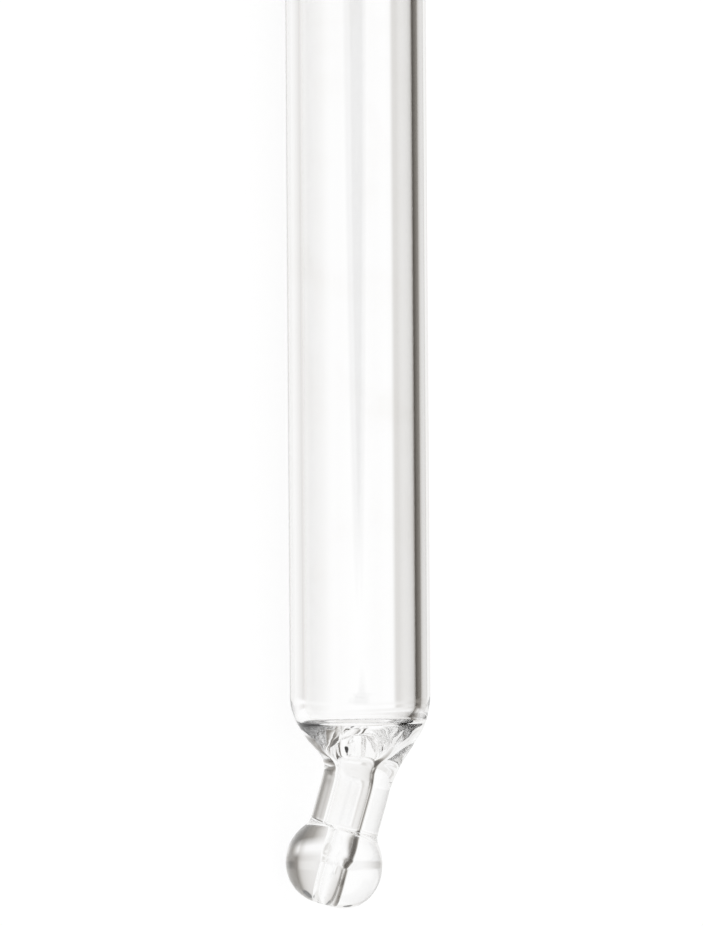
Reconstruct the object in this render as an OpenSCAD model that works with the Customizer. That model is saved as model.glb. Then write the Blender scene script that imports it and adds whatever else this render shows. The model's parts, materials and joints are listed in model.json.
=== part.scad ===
// Dropper pipette with a bent ball tip: one piece of drawn glass tube.
//
// The pipette is drawn upright first, its barrel on the Z axis, with the open
// end up and the bend point at the origin. It is then laid on the floor as it
// comes to rest: on the side of its barrel, rolled until the ball touches too.

/* [Barrel] */
// Outside diameter of the barrel
barrel_d = 7; // [6:0.1:9]
// Wall of the barrel
barrel_wall = 0.72; // [0.5:0.02:1.2]
// Length from the open end to the far side of the ball, along the barrel
overall_l = 76; // [50:1:110]
// Rounding of the fire-polished rim, on each edge of the wall
rim_round = 0.24; // [0.05:0.01:0.24]

/* [Shoulder] */
// Outer rounding between the barrel and the shoulder cone
shoulder_round = 4.5; // [1.5:0.1:5.5]
// Slope of the shoulder cone, from the barrel's axis
shoulder_slope = 38.5; // [25:0.5:50]
// Height of the cone's foot on the neck, above the bend point
shoulder_foot = 0.15; // [-0.3:0.05:0.7]
// Rounding where the bore turns in to its funnel
floor_round = 1.6; // [0.6:0.1:2]
// Slope of the funnel at the bore's foot, from the barrel's axis
funnel_slope = 50; // [40:1:80]
// Rounding where the funnel turns down into the throat
throat_round = 0.72; // [0.3:0.02:1]
// Straight throat between the funnel and the bend
throat_l = 0.14; // [0.04:0.02:1]

/* [Neck] */
// Outside diameter of the neck
neck_d = 3.44; // [2.8:0.02:4.2]
// Diameter of the fine bore in the neck
neck_bore_d = 1.34; // [1:0.02:2]
// Bend of the neck away from the barrel's axis
bend = 16; // [8:0.5:30]
// Radius of the bend, left on the inner side of the neck
bend_round = 0.12; // [0.05:0.01:1]

/* [Ball tip] */
// Diameter of the ball
ball_d = 4.86; // [4.4:0.02:5.6]
// Distance from the bend point to the middle of the ball
ball_reach = 4.82; // [4.2:0.02:8]
// Fillet between the neck and the ball
ball_fillet = 0.7; // [0.1:0.02:1]
// Diameter of the fine bore in the ball
tip_bore_d = 1; // [0.6:0.02:1.5]
// Length of the taper from the neck's bore to the ball's bore
tip_taper_l = 0.4; // [0.2:0.05:1]
// Rounding of the bore's mouth on the ball
mouth_round = 0.2; // [0.05:0.01:0.2]

/* [Hidden] */
$fn = 96;
arc_steps = 16; // straight steps in each arc of a half-section
past = 1; // how far a cutting shape runs past what it cuts

barrel_r = barrel_d / 2;
bore_r = barrel_r - barrel_wall;
neck_r = neck_d / 2;
neck_bore_r = neck_bore_d / 2;
ball_r = ball_d / 2;
tip_bore_r = tip_bore_d / 2;

// The bend: a short elbow of the neck's size, reaching as far up the barrel's
// axis as it does down the neck's.
bend_r = neck_r + bend_round;
elbow_l = bend_r * tan(bend / 2);

// Outer shoulder: an arc off the barrel, then a cone that meets the neck at
// its foot.
cone_l = (barrel_r - neck_r - shoulder_round * (1 - cos(shoulder_slope)))
    / sin(shoulder_slope);
shoulder_z = shoulder_foot + cone_l * cos(shoulder_slope)
    + shoulder_round * sin(shoulder_slope);
sunk_r = (neck_r + neck_bore_r) / 2;
sunk_z = shoulder_foot - (neck_r - sunk_r) / tan(shoulder_slope);

// Foot of the bore: an arc in from the wall, a funnel, and an arc into the
// throat.
throat_z = elbow_l + throat_l;
funnel_l = (bore_r - neck_bore_r
    - (floor_round + throat_round) * (1 - cos(funnel_slope))) / sin(funnel_slope);
floor_z = throat_z + funnel_l * cos(funnel_slope)
    + (floor_round + throat_round) * sin(funnel_slope);

// Ball and its mouth, along the neck's own axis from the bend point.
fillet_angle = acos((neck_r + ball_fillet) / (ball_r + ball_fillet));
fillet_z = -ball_reach + (ball_r + ball_fillet) * sin(fillet_angle);
taper_z = -ball_reach + ball_r * sin(fillet_angle);
mouth_angle = acos((tip_bore_r + mouth_round) / (ball_r - mouth_round));
mouth_z = -ball_reach - (ball_r - mouth_round) * sin(mouth_angle);

// Where the parts lie along the barrel, and how far the pipette rolls before
// the ball meets the floor that the barrel lies on.
tip_z = -ball_reach * cos(bend) - ball_r;
open_z = overall_l + tip_z;
ball_drop = (barrel_r - ball_r) / (ball_reach * sin(bend));
roll = acos(min(1, ball_drop));

// Points along an arc, as [radius, height], from one angle to another.
function arc(centre, r, from, to) = [
    for (i = [0 : arc_steps])
        let (angle = from + (to - from) * i / arc_steps)
            centre + r * [cos(angle), sin(angle)]
];

// Half-section of the outside of the barrel and its shoulder, whose cone ends
// sunk in the neck's glass.
module barrel_outline() {
    polygon(concat(
        [[0, sunk_z], [sunk_r, sunk_z]],
        arc([barrel_r - shoulder_round, shoulder_z], shoulder_round, -shoulder_slope, 0),
        arc([barrel_r - rim_round, open_z - rim_round], rim_round, 0, 90),
        [[0, open_z]]
    ));
}

// Half-section of the hollow of the barrel, down to the top of the throat.
module barrel_hollow() {
    polygon(concat(
        [[0, throat_z]],
        arc([neck_bore_r + throat_round, throat_z], throat_round, 180, 180 - funnel_slope),
        arc([bore_r - floor_round, floor_z], floor_round, -funnel_slope, 0),
        arc([bore_r + rim_round, open_z - rim_round], rim_round, 180, 90),
        [[bore_r + rim_round, open_z + past], [0, open_z + past]]
    ));
}

// Half-section of the outside of the neck and ball, on the neck's own axis.
module neck_outline() {
    polygon(concat(
        [[0, -elbow_l], [neck_r, -elbow_l]],
        arc([neck_r + ball_fillet, fillet_z], ball_fillet, 180, 180 + fillet_angle),
        arc([0, -ball_reach], ball_r, fillet_angle, -90)
    ));
}

// Half-section of the fine bore through the neck and ball.
module neck_hollow() {
    polygon(concat(
        [
            [0, -elbow_l],
            [neck_bore_r, -elbow_l],
            [neck_bore_r, taper_z + tip_taper_l],
            [tip_bore_r, taper_z]
        ],
        arc([tip_bore_r + mouth_round, mouth_z], mouth_round, 180, 180 + mouth_angle),
        [[tip_bore_r + mouth_round, tip_z - past], [0, tip_z - past]]
    ));
}

// A rod down the throat and round the bend, about a centre on the side the
// neck leans to.
module bent_rod(r) {
    translate([0, 0, elbow_l])
        cylinder(throat_l, r = r);
    translate([-bend_r, 0, elbow_l])
        rotate([-90, 0, 0])
            rotate_extrude(angle = bend)
                translate([bend_r, 0])
                    circle(r);
}

module neck_and_ball() {
    bent_rod(neck_r);
    rotate([0, bend, 0])
        rotate_extrude()
            neck_outline();
}

module fine_bore() {
    bent_rod(neck_bore_r);
    rotate([0, bend, 0])
        rotate_extrude()
            neck_hollow();
}

// The pipette upright, as one piece of glass.
module upright_pipette() {
    difference() {
        union() {
            rotate_extrude()
                barrel_outline();
            neck_and_ball();
        }
        rotate_extrude()
            barrel_hollow();
        fine_bore();
    }
}

module dropper_pipette() {
    color([0.93, 0.95, 0.95, 0.35])
        translate([(open_z + tip_z) / 2, 0, barrel_r])
            rotate([-roll, 0, 0])
                rotate([0, -90, 0])
                    upright_pipette();
}

dropper_pipette();
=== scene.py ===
"""Looks of a clear glass dropper pipette: a straight barrel, a bent neck and a bored ball tip.

The pipette is one closed mesh: the half-section of its glass wall, turned about a centre line that runs
down the barrel, round the bend and down the neck. It lies on a pale floor in a white studio.
Sizes are in metres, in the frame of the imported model. Distances along the centre line are measured from
the bend point, positive up the barrel and negative down the neck.
"""

import json
import logging
import math
from dataclasses import dataclass, field
from enum import Enum
from typing import Any

import bpy
import numpy as np
from mathutils import Matrix, Vector


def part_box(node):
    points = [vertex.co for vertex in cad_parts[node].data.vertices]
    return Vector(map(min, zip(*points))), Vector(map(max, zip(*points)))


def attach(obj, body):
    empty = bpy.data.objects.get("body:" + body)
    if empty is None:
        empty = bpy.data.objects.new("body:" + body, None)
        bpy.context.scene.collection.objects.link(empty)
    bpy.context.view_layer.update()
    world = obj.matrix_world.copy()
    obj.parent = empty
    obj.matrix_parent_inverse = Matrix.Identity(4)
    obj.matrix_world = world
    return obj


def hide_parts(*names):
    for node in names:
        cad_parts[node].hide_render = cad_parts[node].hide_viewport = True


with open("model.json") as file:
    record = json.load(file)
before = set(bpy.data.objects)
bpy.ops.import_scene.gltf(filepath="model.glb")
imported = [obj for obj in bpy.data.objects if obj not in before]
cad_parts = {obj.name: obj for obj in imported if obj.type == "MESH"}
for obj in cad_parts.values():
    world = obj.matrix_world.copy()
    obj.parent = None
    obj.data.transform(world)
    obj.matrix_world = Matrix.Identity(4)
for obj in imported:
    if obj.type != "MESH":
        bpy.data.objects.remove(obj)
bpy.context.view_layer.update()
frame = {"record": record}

MM = 0.001
GLASS_BOUNCES = 128
SAME_POINT = 1e-7
CURVE_STEP = 0.08 * MM
BORE_STEP = 0.1 * MM
TAPER_STEP = 0.03 * MM
RED_WARMTH, BLUE_WARMTH = 0.95, 1.07
Socket = bpy.types.NodeSocket
log = logging.getLogger("pipette")


def smooth_step(value: np.ndarray, start: float, stop: float) -> np.ndarray:
    """Eases from 0 at start to 1 at stop.

    Args:
        value: The numbers to ease.
        start: Where the ease is 0.
        stop: Where the ease is 1.

    Returns:
        The eased numbers, between 0 and 1.
    """
    t = np.clip((value - start) / (stop - start), 0, 1)
    return t * t * (3 - 2 * t)


def along(u: np.ndarray, stations: list[tuple[float, float]]) -> np.ndarray:
    """Eases a size from one station to the next along the centre line.

    Args:
        u: Distances from the bend point.
        stations: Distance and size at each station, from the mouth up.

    Returns:
        The size at each distance.
    """
    size = np.full(u.shape, float(stations[0][1]))
    for (start, before), (stop, after) in zip(stations, stations[1:]):
        size += (after - before) * smooth_step(u, start, stop)
    return size


class Mount(Enum):
    """The record's mounts that the glass is built from."""

    TEAT_SEAT = "teat_seat"
    BARREL_BORE = "barrel_bore"
    TIP_BORE = "tip_bore"


@dataclass(frozen=True)
class Layout:
    """Where the pipette lies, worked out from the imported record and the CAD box."""

    barrel_r: float
    bore_r: float
    bend_point: Vector
    up: Vector
    down: Vector
    open_l: float
    ball_r: float
    ball_reach: float

    @classmethod
    def from_frame(cls) -> "Layout":
        """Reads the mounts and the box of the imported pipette.

        Returns:
            The pipette's radii, its bend point and the directions of its barrel and neck.
        """
        mounts = {m["name"]: m for m in frame["record"]["mounts"]}
        seat, bore, tip = (mounts[m.value] for m in Mount)
        up, down = Vector(seat["axis"]).normalized(), Vector(tip["axis"]).normalized()
        point = Vector(tip["pos_m"])
        bend_point = point - down * (point.y / down.y)
        low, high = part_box("dropper_pipette")
        ball_reach = (high.x - bend_point.x - bend_point.z) / (down.x + down.z)
        return cls(
            barrel_r=seat["dims"]["r_mm"] * MM,
            bore_r=bore["dims"]["r_mm"] * MM,
            bend_point=bend_point,
            up=up,
            down=down,
            open_l=bend_point.x - low.x,
            ball_r=high.x - bend_point.x - ball_reach * down.x,
            ball_reach=ball_reach,
        )

    @property
    def roll(self) -> float:
        """Angle by which the bend is turned up from straight down, in radians."""
        return math.atan2(-self.down.y, -self.down.z)


class Outline:
    """A half-section of the glass, as points of (distance along the centre line, radius)."""

    def __init__(self) -> None:
        """Starts an empty outline."""
        self.points: list[tuple[float, float]] = []

    def line(self, u: float, r: float, step: float) -> "Outline":
        """Adds a straight stretch from the last point.

        Args:
            u: Distance along the centre line where it ends.
            r: Radius where it ends.
            step: Longest distance between points.

        Returns:
            The outline itself.
        """
        u0, r0 = self.points[-1]
        count = max(1, math.ceil(math.hypot(u - u0, r - r0) / step))
        for i in range(1, count + 1):
            self.points.append((u0 + (u - u0) * i / count, r0 + (r - r0) * i / count))
        return self

    def arc(self, centre: tuple[float, float], r: float, start: float, stop: float, count: int) -> "Outline":
        """Adds an arc, whose angle 0 points outward in radius and 90 degrees along the centre line.

        Args:
            centre: Its centre, as (distance, radius).
            r: Its own radius.
            start: Angle where it starts, in degrees.
            stop: Angle where it stops, in degrees.
            count: Number of its steps.

        Returns:
            The outline itself.
        """
        for i in range(count + 1):
            angle = math.radians(start + (stop - start) * i / count)
            self.points.append((centre[0] + r * math.sin(angle), centre[1] + r * math.cos(angle)))
        return self

    def array(self) -> np.ndarray:
        """Returns the points as an array, without repeats."""
        kept = [self.points[0]]
        kept += [p for q, p in zip(self.points, self.points[1:]) if math.dist(p, q) > SAME_POINT]
        return np.array(kept)


@dataclass(frozen=True)
class Barrel:
    """The wide tube, with its fire-polished rim."""

    layout: Layout
    rim_round: float = 0.24 * MM
    rim_steps: int = 10
    ring_step: float = 1.5 * MM

    @property
    def rim_u(self) -> float:
        """Distance of the rim's rounding."""
        return self.layout.open_l - self.rim_round

    def outside(self, out: Outline) -> None:
        """Draws the rim's outer half; the wall below it is the next part's first line."""
        out.arc((self.rim_u, self.layout.barrel_r - self.rim_round), self.rim_round, 90, 0, self.rim_steps)

    def bore(self, out: Outline) -> None:
        """Draws the bore from its floor up to the rim's inner half."""
        out.line(self.rim_u, self.layout.bore_r, self.ring_step)
        out.arc((self.rim_u, self.layout.bore_r + self.rim_round), self.rim_round, 180, 90, self.rim_steps)


@dataclass(frozen=True)
class Shoulder:
    """The closed end of the barrel: a cone outside, and a funnel inside whose slope changes at its lip.

    The funnel's lean and sink are how far its lip stands off the barrel's axis, in the plane of the bend and
    across it, and its depth is its width across that plane as a share of its width in it.
    """

    layout: Layout
    outer_round: float = 3.8 * MM
    slope: float = 36.1
    foot: float = 0.04 * MM
    foot_round: float = 2.4 * MM
    lean: float = 0.09 * MM
    floor_round: float = 1.52 * MM
    floor_slope: float = 42.6
    lip_round: float = 0.59 * MM
    lip_u: float = 2.22 * MM
    funnel_r: float = 2.3 * MM
    funnel_slope: float = 42.5
    funnel_round: float = 1.47 * MM
    funnel_lean: float = -0.01 * MM
    funnel_sink: float = 0.42 * MM
    funnel_depth: float = 1.13
    broad_steps: int = 24
    tight_steps: int = 12

    def outside(self, out: Outline, barrel: Barrel, neck: "Neck") -> None:
        """Draws the wall down to the cone, the cone, and its rounding into the neck.

        Args:
            out: The outline to add to.
            barrel: The tube above.
            neck: The tube below.
        """
        slope = math.radians(self.slope)
        barrel_r = self.layout.barrel_r
        cone_r = barrel_r - self.outer_round * (1 - math.cos(slope))
        round_u = self.foot + (cone_r - neck.outer_r) / math.tan(slope) + self.outer_round * math.sin(slope)
        foot_u = self.foot - self.foot_round * math.tan(slope / 2)
        out.line(round_u, barrel_r, barrel.ring_step)
        out.arc((round_u, barrel_r - self.outer_round), self.outer_round, 0, -self.slope, self.broad_steps)
        out.line(
            foot_u + self.foot_round * math.sin(slope),
            neck.outer_r + self.foot_round * (1 - math.cos(slope)),
            CURVE_STEP,
        )
        foot = (foot_u, neck.outer_r + self.foot_round)
        out.arc(foot, self.foot_round, 180 - self.slope, 180, self.tight_steps)

    def bore(self, out: Outline, neck: "Neck") -> None:
        """Draws the funnel up from the neck's bore, its lip, and the floor out to the barrel's wall.

        Args:
            out: The outline to add to.
            neck: The tube below.
        """
        floor, funnel = math.radians(self.floor_slope), math.radians(self.funnel_slope)
        lip_foot = (
            self.lip_u - self.lip_round * math.sin(funnel),
            self.funnel_r + self.lip_round * math.cos(funnel),
        )
        foot_r = neck.bore_r + self.funnel_round * (1 - math.cos(funnel))
        run = (self.funnel_r - foot_r) / math.tan(funnel)
        foot_u = self.lip_u - run - self.funnel_round * math.sin(funnel)
        out.line(foot_u, neck.bore_r, CURVE_STEP)
        foot = (foot_u, neck.bore_r + self.funnel_round)
        out.arc(foot, self.funnel_round, 180, 180 - self.funnel_slope, self.tight_steps)
        out.line(self.lip_u, self.funnel_r, CURVE_STEP)
        lip_turn = (180 - self.funnel_slope, 180 - self.floor_slope)
        out.arc(lip_foot, self.lip_round, *lip_turn, self.tight_steps)
        u, r = out.points[-1]
        end_r = self.layout.bore_r - self.floor_round * (1 - math.cos(floor))
        floor_u = u + (end_r - r) / math.tan(floor)
        out.line(floor_u, end_r, BORE_STEP)
        out.arc(
            (floor_u + self.floor_round * math.sin(floor), self.layout.bore_r - self.floor_round),
            self.floor_round, -self.floor_slope, 0, self.broad_steps,
        )


@dataclass(frozen=True)
class Neck:
    """The bent, thick-walled capillary between the shoulder and the ball."""

    outer_r: float = 1.72 * MM
    bore_r: float = 0.665 * MM
    bore_depth: float = 0.65
    bore_lean: float = -0.075 * MM
    bend_l: float = 1.35 * MM

    def outside(self, out: Outline, ball: "BallTip") -> None:
        """Draws the outside down to the ball's fillet.

        Args:
            out: The outline to add to.
            ball: The ball below.
        """
        out.line(ball.fillet_u(self), self.outer_r, CURVE_STEP)


@dataclass(frozen=True)
class BallTip:
    """The ball, its fillet to the neck, and the finer bore that opens at its mouth."""

    layout: Layout
    sink: float = 0.16 * MM
    fillet: float = 0.8 * MM
    tip_flat: float = 0.32 * MM
    tip_spread: float = 45.0
    lean: float = 0.1 * MM
    top_r: float = 0.57 * MM
    top_up: float = 1.51 * MM
    top_lean: float = 0.07 * MM
    foot_r: float = 0.49 * MM
    foot_up: float = 0.01 * MM
    foot_lean: float = 0.04 * MM
    taper_l: float = 0.25 * MM
    mouth_r: float = 0.5 * MM
    mouth_round: float = 0.2 * MM
    mouth_lean: float = 0.1 * MM
    mouth_lean_l: float = 2 * MM
    fillet_steps: int = 16
    ball_steps: int = 90
    mouth_steps: int = 10

    @property
    def middle_u(self) -> float:
        """Distance of the ball's middle."""
        return -self.layout.ball_reach - self.sink

    @property
    def foot_u(self) -> float:
        """Distance of the upper end of the bore's finest stretch."""
        return self.middle_u + self.foot_up

    @property
    def top_u(self) -> float:
        """Distance of the upper end of the bore's wider stretch."""
        return self.middle_u + self.top_up

    def fillet_angle(self, neck: Neck) -> float:
        """Returns the angle on the ball where the neck's fillet ends, in radians."""
        return math.acos((neck.outer_r + self.fillet) / (self.layout.ball_r + self.fillet))

    def fillet_u(self, neck: Neck) -> float:
        """Returns the distance at which the neck runs into its fillet."""
        reach = (self.layout.ball_r + self.fillet) * math.sin(self.fillet_angle(neck))
        return self.middle_u + reach

    def outside(self, out: Outline, neck: Neck) -> None:
        """Draws the fillet, the ball and the mouth's rounding.

        Args:
            out: The outline to add to.
            neck: The tube above.
        """
        lay = self.layout
        join = math.degrees(self.fillet_angle(neck))
        mouth = math.acos((self.mouth_r + self.mouth_round) / (lay.ball_r - self.mouth_round))
        mouth_u = self.middle_u - (lay.ball_r - self.mouth_round) * math.sin(mouth)
        mouth_angle = math.degrees(mouth)
        fillet_middle = (self.fillet_u(neck), neck.outer_r + self.fillet)
        out.arc(fillet_middle, self.fillet, 180, 180 + join, self.fillet_steps)
        start = len(out.points)
        out.arc((self.middle_u, 0), lay.ball_r, join, -mouth_angle, self.ball_steps)
        mouth_middle = (mouth_u, self.mouth_r + self.mouth_round)
        out.arc(mouth_middle, self.mouth_round, -mouth_angle, -180, self.mouth_steps)
        for i, (u, r) in enumerate(out.points[start:], start):
            off_axis = math.degrees(math.atan2(r, self.middle_u - u)) / self.tip_spread
            out.points[i] = (u + self.tip_flat * math.exp(-off_axis * off_axis), r)

    def bore(self, out: Outline, neck: Neck) -> None:
        """Draws the fine bore up from the mouth, wider above the ball's middle, to the neck's bore.

        Args:
            out: The outline to add to.
            neck: The tube above.
        """
        out.line(self.foot_u, self.foot_r, BORE_STEP)
        out.line(self.foot_u + self.taper_l, self.top_r, TAPER_STEP)
        out.line(self.top_u, self.top_r, BORE_STEP)
        out.line(self.top_u + self.taper_l, neck.bore_r, TAPER_STEP)


@dataclass
class Pipette:
    """The whole pipette: one closed piece of drawn glass.

    Its distances are where the outside and the bore come back to the centre line or start to leave it.
    """

    layout: Layout
    sides: int = 192
    worked_u: float = 4.2 * MM
    ball_true_up: float = 0.6 * MM
    neck_true_u: float = -0.9 * MM
    shoulder_low_u: float = 0.1 * MM
    shoulder_high_u: float = 1.4 * MM
    shoulder_true_u: float = 3.2 * MM
    funnel_foot_u: float = 0.2 * MM
    funnel_true_up: float = 0.4 * MM

    def __post_init__(self) -> None:
        """Sizes its parts."""
        self.barrel = Barrel(self.layout)
        self.shoulder = Shoulder(self.layout)
        self.neck = Neck()
        self.ball = BallTip(self.layout)

    def section(self) -> tuple[np.ndarray, np.ndarray]:
        """Draws the half-sections of the outside and of the bore.

        Returns:
            The outside from the rim to the mouth, and the bore from the mouth to the rim.
        """
        outside, bore = Outline(), Outline()
        self.barrel.outside(outside)
        self.shoulder.outside(outside, self.barrel, self.neck)
        self.neck.outside(outside, self.ball)
        self.ball.outside(outside, self.neck)
        bore.points.append(outside.points[-1])
        self.ball.bore(bore, self.neck)
        self.shoulder.bore(bore, self.neck)
        self.barrel.bore(bore)
        return outside.array(), bore.array()[1:]

    def outer_lean(self, u: np.ndarray) -> np.ndarray:
        """Returns how far the outside's middle stands off the centre line, in the plane of the bend."""
        middle = self.ball.middle_u
        return along(u, [
            (middle - self.layout.ball_r, self.ball.lean), (middle + self.ball_true_up, 0),
            (self.neck_true_u, 0), (self.shoulder_low_u, self.shoulder.lean),
            (self.shoulder_high_u, self.shoulder.lean), (self.shoulder_true_u, 0),
        ])

    def bore_lean(self, u: np.ndarray) -> np.ndarray:
        """Returns how far the bore's middle stands off the centre line, in the plane of the bend."""
        ball, neck, shoulder = self.ball, self.neck, self.shoulder
        return along(u, [
            (u[0], ball.mouth_lean), (u[0] + ball.mouth_lean_l, ball.foot_lean),
            (ball.foot_u, ball.foot_lean), (ball.foot_u + ball.taper_l, ball.top_lean),
            (ball.top_u, ball.top_lean), (ball.top_u + ball.taper_l, neck.bore_lean),
            (self.funnel_foot_u, neck.bore_lean), (shoulder.lip_u, shoulder.funnel_lean),
            (shoulder.lip_u + self.funnel_true_up, 0),
        ])

    def bore_depth(self, u: np.ndarray) -> np.ndarray:
        """Returns the bore's width across the plane of the bend, as a share of its width in it."""
        ball, neck, shoulder = self.ball, self.neck, self.shoulder
        return along(u, [
            (ball.top_u, 1), (ball.top_u + ball.taper_l, neck.bore_depth),
            (self.funnel_foot_u, neck.bore_depth), (shoulder.lip_u, shoulder.funnel_depth),
            (shoulder.lip_u + self.funnel_true_up, 1),
        ])

    def bore_sink(self, u: np.ndarray) -> np.ndarray:
        """Returns how far the bore's middle stands off the centre line, across the plane of the bend."""
        shoulder = self.shoulder
        return along(u, [
            (self.funnel_foot_u, 0), (shoulder.lip_u, shoulder.funnel_sink),
            (shoulder.lip_u + self.funnel_true_up, 0),
        ])

    def centre_line(self, u: np.ndarray) -> tuple[np.ndarray, np.ndarray]:
        """Follows the centre line: straight, then a short smooth bend, then straight.

        Args:
            u: Distances from the bend point.

        Returns:
            The points and the unit directions up the line.
        """
        lay, reach = self.layout, self.neck.bend_l
        up, down = np.array(lay.up), np.array(lay.down)
        t = np.clip((reach - u) / (2 * reach), 0, 1)[:, None]
        bend = up * reach * (1 - t) ** 2 + down * reach * t**2
        straight = up * np.maximum(u - reach, 0)[:, None] + down * np.maximum(-u - reach, 0)[:, None]
        way = up * (1 - t) - down * t
        return np.array(lay.bend_point) + bend + straight, way / np.linalg.norm(way, axis=1)[:, None]

    def stations(self) -> np.ndarray:
        """Returns the distance of each ring."""
        return np.concatenate(self.section())[:, 0]

    def rings(self) -> np.ndarray:
        """Turns the section about the centre line.

        Returns:
            The points of each ring.
        """
        outside, bore = self.section()
        section = np.concatenate([outside, bore])
        outer_u, bore_u = outside[:, 0], bore[:, 0]
        off = np.concatenate([self.outer_lean(outer_u), self.bore_lean(bore_u)])
        depth = np.concatenate([np.ones(len(outside)), self.bore_depth(bore_u)])
        sink = np.concatenate([np.zeros(len(outside)), self.bore_sink(bore_u)])
        centres, ways = self.centre_line(section[:, 0])
        flat = np.cross(np.array(self.layout.up), np.array(self.layout.down))
        flat /= np.linalg.norm(flat)
        lean = np.cross(ways, flat)
        turn = np.linspace(0, 2 * math.pi, self.sides, endpoint=False)
        wide = lean[:, None, :] * (section[:, 1][:, None] * np.cos(turn) + off[:, None])[:, :, None]
        deep = flat * ((section[:, 1] * depth)[:, None] * np.sin(turn) + sink[:, None])[:, :, None]
        return centres[:, None, :] + wide + deep

    def build(self) -> bpy.types.Object:
        """Skins the rings, links the mesh and dresses the barrel and the tip.

        Returns:
            The finished object.
        """
        points = self.rings()
        ring, side = np.meshgrid(np.arange(len(points)), np.arange(self.sides), indexing="ij")
        here, after = ring * self.sides, (ring + 1) % len(points) * self.sides
        beside = (side + 1) % self.sides
        faces = np.stack([here + side, here + beside, after + beside, after + side], axis=-1).reshape(-1, 4)
        mesh = bpy.data.meshes.new("glass_pipette")
        mesh.from_pydata(points.reshape(-1, 3).tolist(), [], faces.tolist())
        mesh.update()
        mesh.shade_smooth()
        skin = GlassSkin()
        for glass in (ClearGlass.drawn(), ClearGlass.flamed()):
            mesh.materials.append(glass.material(skin))
        worked = np.repeat(self.stations() < self.worked_u, self.sides)
        mesh.polygons.foreach_set("material_index", worked.astype(np.int32))
        piece = bpy.data.objects.new("glass_pipette", mesh)
        bpy.context.scene.collection.objects.link(piece)
        return piece


class Board:
    """Adds nodes to one node tree and joins them."""

    def __init__(self, tree: bpy.types.NodeTree) -> None:
        """Keeps the tree to work on."""
        self.tree = tree

    def add(self, kind: str, inputs: dict[Any, Any] | None = None, **settings: Any) -> bpy.types.Node:
        """Adds a node.

        Args:
            kind: Its type, without the ShaderNode in front.
            inputs: A socket to join or a value to set, for each input's name or place.
            settings: The node's own settings.

        Returns:
            The new node.
        """
        node = self.tree.nodes.new("ShaderNode" + kind)
        for name, value in settings.items():
            setattr(node, name, value)
        self.fill(node, inputs or {})
        return node

    def fill(self, node: bpy.types.Node, inputs: dict[Any, Any]) -> None:
        """Joins or sets a node's inputs.

        Args:
            node: The node.
            inputs: A socket to join or a value to set, for each input's name or place.
        """
        for name, value in inputs.items():
            if isinstance(value, Socket):
                self.tree.links.new(value, node.inputs[name])
            else:
                node.inputs[name].default_value = value

    def ramp(self, value: Socket, low: float, high: float, stops: dict[float, float]) -> Socket:
        """Turns a value into a faintly warm grey that is set at a few stops.

        Args:
            value: The value to look up.
            low: Value at the ramp's start.
            high: Value at the ramp's end.
            stops: The grey at each stop.

        Returns:
            The socket of the grey.
        """
        place = self.add("MapRange", {"Value": value, "From Min": low, "From Max": high})
        node = self.add("ValToRGB", {0: place.outputs[0]})
        elements = node.color_ramp.elements
        elements.remove(elements[-1])
        for i, (at, grey) in enumerate(sorted(stops.items())):
            spot = (at - low) / (high - low)
            stop = elements[0] if i == 0 else elements.new(spot)
            stop.position = spot
            stop.color = (grey**RED_WARMTH, grey, grey**BLUE_WARMTH, 1)
        return node.outputs["Color"]

    def blend(self, factor: Socket, first: Any, second: Any) -> Socket:
        """Mixes two colours.

        Args:
            factor: How much of the second there is.
            first: The first colour, or its socket.
            second: The second colour, or its socket.

        Returns:
            The socket of the mixed colour.
        """
        mix = self.add("Mix", {"Factor": factor}, data_type="RGBA")
        self.fill(mix, {6: first, 7: second})
        return mix.outputs[2]

    def bent_ray(self) -> Socket:
        """Returns a socket that is 1 for rays that glass or gloss has turned, and 0 for the rest."""
        path = self.add("LightPath")
        either = self.add(
            "Math",
            {0: path.outputs["Is Glossy Ray"], 1: path.outputs["Is Transmission Ray"]},
            operation="MAXIMUM",
        )
        return either.outputs[0]


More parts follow.
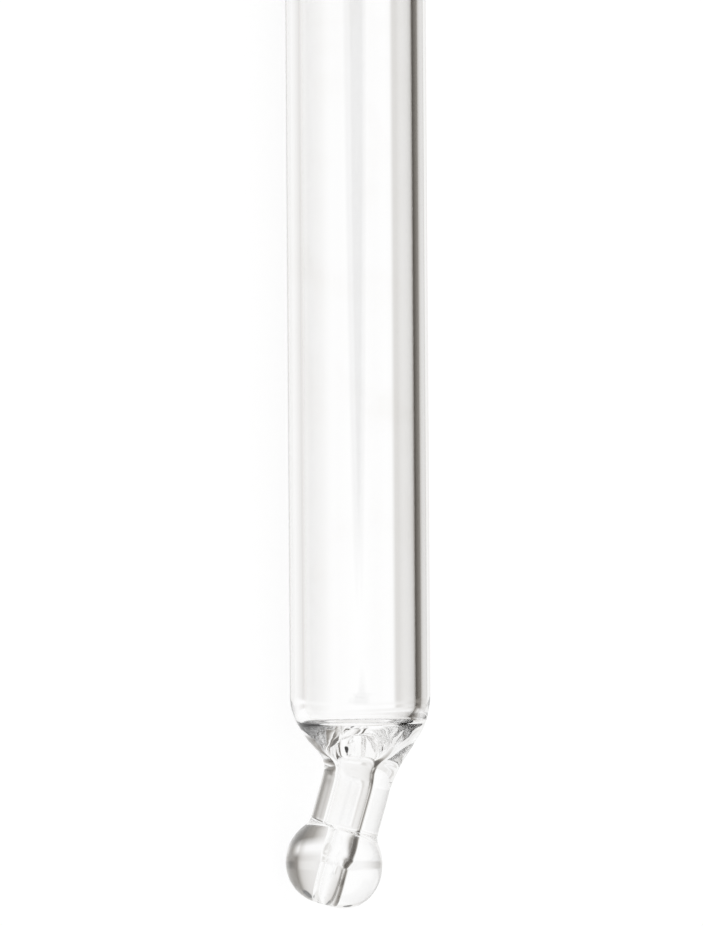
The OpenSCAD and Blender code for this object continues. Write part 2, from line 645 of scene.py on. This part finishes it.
@dataclass
class GlassSkin:
    """The node group of what working and handling leave on glass: ripples, seeds and a faint film."""

    ripple_detail: float = 2.0
    ripple_roughness: float = 0.45
    seed_scale: float = 0.35
    seed_reach: tuple[float, float] = (0.04, 0.1)
    film_scale: float = 260.0
    film_detail: float = 4.0
    film_swirl: float = 0.6
    film_reach: tuple[float, float] = (0.52, 0.78)
    film_haze: float = 0.05
    clean: tuple[float, float, float, float] = (1.0, 1.0, 1.0, 1)
    handled: tuple[float, float, float, float] = (0.95, 0.94, 0.925, 1)

    def __post_init__(self) -> None:
        """Builds the group."""
        self.tree = bpy.data.node_groups.new("glass_skin", "ShaderNodeTree")
        for name, kind in (("Grain", "Vector"), ("Seeds", "Float"), ("Film", "Float")):
            self.tree.interface.new_socket(name=name, in_out="INPUT", socket_type="NodeSocket" + kind)
        for name, kind in (("Height", "Float"), ("Haze", "Float"), ("Tone", "Color")):
            self.tree.interface.new_socket(name=name, in_out="OUTPUT", socket_type="NodeSocket" + kind)
        board = Board(self.tree)
        values = self.tree.nodes.new("NodeGroupInput").outputs
        place = board.add("TexCoord").outputs["Object"]
        film = self.film(board, place, values["Film"])
        haze = board.add("Math", {0: film, 1: self.film_haze}, operation="MULTIPLY")
        board.fill(self.tree.nodes.new("NodeGroupOutput"), {
            "Height": self.height(board, place, values["Grain"], values["Seeds"]),
            "Haze": haze.outputs[0],
            "Tone": board.blend(film, self.clean, self.handled),
        })

    def height(self, board: Board, place: Socket, grain: Socket, seeds: Socket) -> Socket:
        """Draws the ripples and the seeds.

        Args:
            board: The group's nodes.
            place: The place on the glass.
            grain: How many ripples there are to a metre, each way.
            seeds: How deep the seeds are.

        Returns:
            The socket of the height.
        """
        stretched = board.add("VectorMath", {0: place, 1: grain}, operation="MULTIPLY").outputs[0]
        ripple = board.add("TexNoise", {
            "Vector": stretched, "Scale": 1.0, "Detail": self.ripple_detail,
            "Roughness": self.ripple_roughness,
        })
        cell = board.add("TexVoronoi", {"Vector": stretched, "Scale": self.seed_scale})
        near, far = self.seed_reach
        pit = board.add("MapRange", {"Value": cell.outputs["Distance"], "From Min": near, "From Max": far})
        depth = board.add("Math", {0: pit.outputs[0], 1: seeds}, operation="MULTIPLY")
        height = board.add("Math", {0: ripple.outputs[0], 1: depth.outputs[0]}, operation="ADD")
        return height.outputs[0]

    def film(self, board: Board, place: Socket, amount: Socket) -> Socket:
        """Draws the film in patches.

        Args:
            board: The group's nodes.
            place: The place on the glass.
            amount: How much film there is.

        Returns:
            The socket of the film.
        """
        patch = board.add("TexNoise", {
            "Vector": place, "Scale": self.film_scale, "Detail": self.film_detail,
            "Distortion": self.film_swirl,
        })
        start, full = self.film_reach
        smear = board.add("MapRange", {"Value": patch.outputs[0], "From Min": start, "From Max": full})
        return board.add("Math", {0: smear.outputs[0], 1: amount}, operation="MULTIPLY").outputs[0]


@dataclass(frozen=True)
class ClearGlass:
    """Clear glass with the marks of how it was worked.

    Its grain is how many ripples there are to a metre, along the barrel, across it and upward.
    """

    name: str
    grain: tuple[float, float, float]
    ripple: float
    seeds: float
    film: float
    ripple_height: float = 0.001 * MM
    ior: float = 1.517

    @classmethod
    def drawn(cls) -> "ClearGlass":
        """The barrel's glass, with the long fine lines of drawing."""
        return cls("drawn_glass", grain=(25.0, 1100.0, 1100.0), ripple=0.3, seeds=0.5, film=0.5)

    @classmethod
    def flamed(cls) -> "ClearGlass":
        """The tip's glass, with the soft ripples that a flame leaves."""
        return cls("flamed_glass", grain=(700.0, 1000.0, 1000.0), ripple=0.6, seeds=0.4, film=0.4)

    def material(self, skin: GlassSkin) -> bpy.types.Material:
        """Builds the material.

        Args:
            skin: The marks that it shares with the other glass.

        Returns:
            The material.
        """
        made = bpy.data.materials.new(self.name)
        made.use_nodes = True
        board = Board(made.node_tree)
        marks = made.node_tree.nodes.new("ShaderNodeGroup")
        marks.node_tree = skin.tree
        board.fill(marks, {"Grain": self.grain, "Seeds": self.seeds, "Film": self.film})
        bump = board.add("Bump", {
            "Height": marks.outputs["Height"], "Strength": self.ripple, "Distance": self.ripple_height,
        })
        board.fill(made.node_tree.nodes["Principled BSDF"], {
            "Base Color": marks.outputs["Tone"], "Roughness": marks.outputs["Haze"], "IOR": self.ior,
            "Transmission Weight": 1.0, "Normal": bump.outputs[0],
        })
        return made


@dataclass(frozen=True)
class Band:
    """The room's grey round the barrel, and its share of the room at each slant along it.

    Angles are in degrees. About the barrel, 0 is toward +Y and 90 upward. A slant is positive toward the
    ball.
    """

    greys: dict[float, float]
    share: dict[float, float] = field(default_factory=lambda: {-90: 1.0, 90: 1.0})

    def grey(self, board: Board, roll: Socket) -> Socket:
        """Sets the grey by the angle about the barrel.

        Args:
            board: The world's nodes.
            roll: Angle about the barrel, in radians.

        Returns:
            The socket of the grey.
        """
        stops = {math.radians(angle): grey for angle, grey in self.greys.items()}
        return board.ramp(roll, -math.pi, math.pi, stops)

    def mask(self, board: Board, slant: Socket) -> Socket:
        """Sets the band's share by the slant.

        Args:
            board: The world's nodes.
            slant: Sine of the slant.

        Returns:
            The socket of the share.
        """
        stops = {math.sin(math.radians(angle)): share for angle, share in self.share.items()}
        return board.ramp(slant, -1, 1, stops)


@dataclass(frozen=True)
class Flag:
    """A dark oval card hung in the room, by its angles in degrees.

    Its edge is where its full grey ends, as a share of the way from its middle to its rim.
    """

    roll: float
    slant: float
    half_roll: float
    half_slant: float
    grey: float = 0.02
    edge: float = 0.9

    def mask(self, board: Board, roll: Socket, slant: Socket) -> Socket:
        """Marks the card.

        Args:
            board: The world's nodes.
            roll: Angle about the barrel, in radians.
            slant: Sine of the slant.

        Returns:
            The socket of the mask, 1 on the card.
        """
        low, high = (math.sin(math.radians(self.slant + side * self.half_slant)) for side in (-1, 1))
        offsets = []
        for value, middle, half in (
            (roll, math.radians(self.roll), math.radians(self.half_roll)),
            (slant, (low + high) / 2, (high - low) / 2),
        ):
            away = board.add("Math", {0: value, 1: middle}, operation="SUBTRACT")
            offsets.append(board.add("Math", {0: away.outputs[0], 1: half}, operation="DIVIDE").outputs[0])
        spot = board.add("CombineXYZ", {0: offsets[0], 1: offsets[1]})
        reach = board.add("VectorMath", {0: spot.outputs[0]}, operation="LENGTH")
        edge = board.add("MapRange", {
            "Value": reach.outputs["Value"], "From Min": 1.0, "From Max": self.edge,
        })
        return edge.outputs[0]


ACROSS = Band({
    -180: 0.8, -150: 0.95, -130: 0.9, -116: 0.8, -102: 0.75, -88: 0.77, -79: 0.86, -71: 0.92, -62: 0.97,
    -43: 0.95, -41.5: 1.0, -30: 1.0, -29: 0.95, -28.3: 0.70, -27: 0.68, -25.5: 0.76, -23: 0.83, -19: 0.84,
    -10: 0.77, -6: 0.70, -3: 0.60, -0.5: 0.46, 1.5: 0.22, 10: 0.12, 17: 0.06, 27: 0.10, 40: 0.2, 55: 0.5,
    68: 0.8, 78: 1.0, 150: 1.0, 180: 0.8,
})
ENDS = Band({
    -180: 0.8, -150: 0.95, -116: 0.9, -102: 0.95, -88: 1.0, -40: 1.0, -27: 0.87, -20: 0.8, -14: 0.74,
    -10: 0.7, -6: 0.62, -3: 0.52, 0: 0.34, 3: 0.18, 7: 0.2, 18: 0.19, 26: 0.17, 38: 0.3, 46: 0.5, 60: 0.8,
    78: 1.0, 150: 1.0, 180: 0.8,
}, {-5: 1.0, -3: 0.0, 3: 0.0, 5: 1.0})
ASLANT = Band({
    -180: 0.8, -150: 0.95, -116: 0.92, -102: 0.95, -88: 1.0, -40: 1.0, -25: 0.98, -14: 0.96, -9: 0.93,
    -6: 0.82, -3: 0.7, 0: 0.7, 3: 0.85, 6: 0.66, 8: 0.56, 11: 0.4, 14: 0.26, 17: 0.19, 24: 0.16, 29: 0.32,
    35: 0.5, 46: 0.7, 60: 0.9, 78: 1.0, 150: 1.0, 180: 0.8,
}, {8: 0.0, 14: 1.0})
STEEP = Band({
    -180: 0.8, -150: 0.95, -116: 0.95, -60: 1.0, -40: 1.0, -27: 0.75, -20: 0.5, -14: 0.28, -9: 0.24, -5: 0.18,
    -1: 0.15, 5: 0.07, 15: 0.06, 35: 0.06, 48: 0.1, 58: 0.4, 66: 0.85, 78: 1.0, 150: 1.0, 180: 0.8,
}, {18: 0.0, 28: 1.0})
OPEN_END = Band({
    -180: 0.8, -90: 0.85, 0: 0.85, 15: 0.75, 60: 0.8, 135: 0.85, 180: 0.8,
}, {-50: 1.0, -46: 0.0})

# In order, they draw the stripe along the barrel, the dark spot in the shoulder, and the dark marks low on
# the ball's side and under it.
FLAGS = (
    Flag(roll=148.0, slant=-3.45, half_roll=20.0, half_slant=4.0),
    Flag(roll=-128.0, slant=77.5, half_roll=20.0, half_slant=3.6, grey=0.01, edge=0.8),
    Flag(roll=-1.0, slant=-34.0, half_roll=8.0, half_slant=8.0, grey=0.1, edge=0.7),
    Flag(roll=-60.0, slant=-54.0, half_roll=12.0, half_slant=4.5, grey=0.06, edge=0.7),
)


@dataclass(frozen=True)
class Studio:
    """Floor, light and camera."""

    layout: Layout
    floor_albedo: float = 0.1
    floor_glow: float = 0.93
    floor_half: float = 0.6
    view_h: float = 46.07 * MM
    distance: float = 0.8
    lean: float = 0.386
    aside: float = 0.45 * MM
    above: float = 15.17 * MM
    sensor: float = 36.0
    clip_end: float = 10.0

    def light(self) -> None:
        """White to the eye; for rays that glass has turned, a room of greys with a few dark cards."""
        world = bpy.data.worlds.new("studio")
        bpy.context.scene.world = world
        world.use_nodes = True
        board = Board(world.node_tree)
        way = board.add("TexCoord").outputs["Generated"]
        split = board.add("SeparateXYZ", {0: way})
        turn = board.add("Math", {0: split.outputs["Z"], 1: split.outputs["Y"]}, operation="ARCTAN2")
        roll, slant = turn.outputs[0], split.outputs["X"]
        room = ACROSS.grey(board, roll)
        for band in (ENDS, ASLANT, STEEP, OPEN_END):
            room = board.blend(band.mask(board, slant), room, band.grey(board, roll))
        for flag in FLAGS:
            room = board.blend(flag.mask(board, roll, slant), room, (flag.grey,) * 3 + (1,))
        seen = board.blend(board.bent_ray(), (1, 1, 1, 1), room)
        board.tree.links.new(seen, board.tree.nodes["Background"].inputs["Color"])

    def floor(self) -> bpy.types.Object:
        """A wide white floor."""
        half = self.floor_half
        mesh = bpy.data.meshes.new("floor")
        corners = [(-half, -half, 0), (half, -half, 0), (half, half, 0), (-half, half, 0)]
        mesh.from_pydata(corners, [], [(0, 1, 2, 3)])
        floor = bpy.data.objects.new("floor", mesh)
        bpy.context.scene.collection.objects.link(floor)
        made = bpy.data.materials.new("floor")
        made.use_nodes = True
        board = Board(made.node_tree)
        shader = made.node_tree.nodes["Principled BSDF"]
        seen = board.add("LightPath").outputs["Is Camera Ray"]
        board.fill(shader, {
            "Base Color": (self.floor_albedo,) * 3 + (1,), "Roughness": 1.0, "Specular IOR Level": 0.0,
            "Emission Color": (self.floor_glow,) * 3 + (1,), "Emission Strength": seen,
        })
        clear = board.add("BsdfTransparent")
        mix = board.add("MixShader", {0: board.bent_ray(), 1: shader.outputs[0], 2: clear.outputs[0]})
        board.fill(made.node_tree.nodes["Material Output"], {"Surface": mix.outputs[0]})
        mesh.materials.append(made)
        return floor

    def camera(self) -> bpy.types.Object:
        """A long lens, square on to the plane of the bend."""
        lay = self.layout
        roll = lay.roll
        back = Vector((0, -math.cos(roll), math.sin(roll)))
        right = Vector((0, math.sin(roll), math.cos(roll)))
        lean = math.radians(self.lean)
        up = lay.up * math.cos(lean) + right * math.sin(lean)
        side = right * math.cos(lean) - lay.up * math.sin(lean)
        data = bpy.data.cameras.new("camera")
        data.sensor_width = self.sensor
        data.lens = self.sensor * self.distance / self.view_h
        data.clip_end = self.clip_end
        camera = bpy.data.objects.new("camera", data)
        bpy.context.scene.collection.objects.link(camera)
        centre = lay.bend_point - side * self.aside + up * self.above
        turn = Matrix((side, up, back)).transposed()
        camera.matrix_world = Matrix.Translation(centre + back * self.distance) @ turn.to_4x4()
        bpy.context.scene.camera = camera
        return camera


def main() -> None:
    """Builds the pipette and its studio."""
    logging.basicConfig(level=logging.INFO, format="%(name)s: %(message)s")
    layout = Layout.from_frame()
    studio = Studio(layout)
    studio.camera()
    studio.light()
    studio.floor()
    piece = Pipette(layout).build()
    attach(piece, "root")
    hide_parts("dropper_pipette")
    log.info("%s: %d faces", piece.name, len(piece.data.polygons))
    scene = bpy.context.scene
    scene.view_settings.view_transform = "Standard"
    scene.cycles.max_bounces = GLASS_BOUNCES
    scene.cycles.glossy_bounces = GLASS_BOUNCES
    scene.cycles.transmission_bounces = GLASS_BOUNCES


if __name__ == "__main__":
    main()
